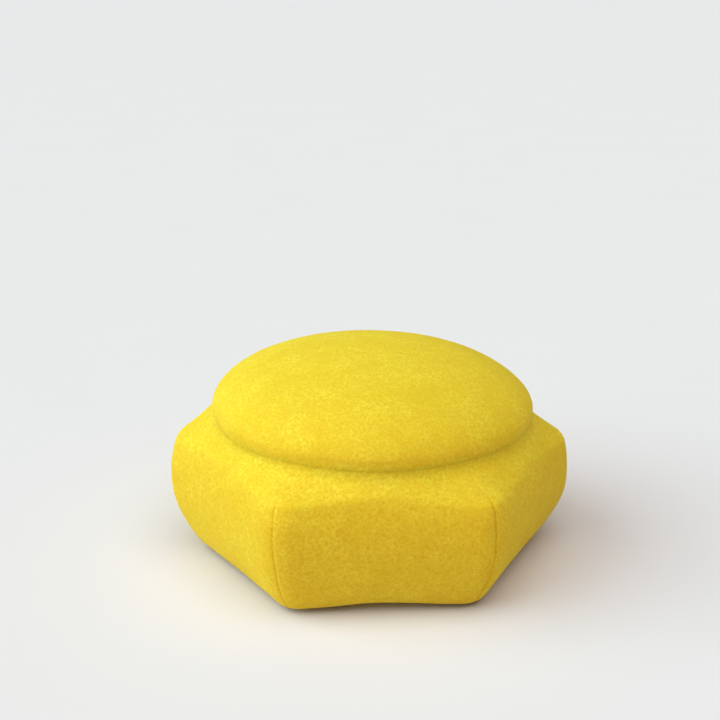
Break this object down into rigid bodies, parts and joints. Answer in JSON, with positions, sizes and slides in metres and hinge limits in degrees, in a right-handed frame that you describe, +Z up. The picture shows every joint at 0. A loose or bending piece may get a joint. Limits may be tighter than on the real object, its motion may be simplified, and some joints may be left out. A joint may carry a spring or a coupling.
{
  "type": "foam sponge brush",
  "caption": "Palm-held foam sponge brush: hexagonal barrel-shaped sponge body, round domed grip on top, and a pull-off working pad plugged into its underside.",
  "frame": {"origin": "centre of the working face, on the surface the tool stands on", "axes": "+Z up through the palm grip, +X from corner to corner of the hexagon, +Y across two opposite flats; the flat at -Y is the front"},
  "size_m": [0.1, 0.089, 0.0516],
  "materials": {
    "grip_foam": "matte",
    "core_plastic": "matte",
    "body_foam": "matte",
    "plate_plastic": "satin",
    "screw_steel": "satin",
    "hook_tape": "matte",
    "loop_fleece": "matte",
    "pad_foam": "matte"
  },
  "bodies": {
    "tool": {"palm_grip": "grip_foam", "grip_core": "core_plastic", "sponge_body": "body_foam", "backing_plate": "plate_plastic", "plate_screws": "screw_steel", "hook_sheet": "hook_tape"},
    "refill_pad": {"loop_sheet": "loop_fleece", "sponge_pad": "pad_foam"}
  },
  "joints": [
    {"name": "pad_pull", "type": "slide", "parent": "refill_pad", "child": "tool", "axis": [0, 0, 1], "range_m": [0, 0.03]}
  ]
}
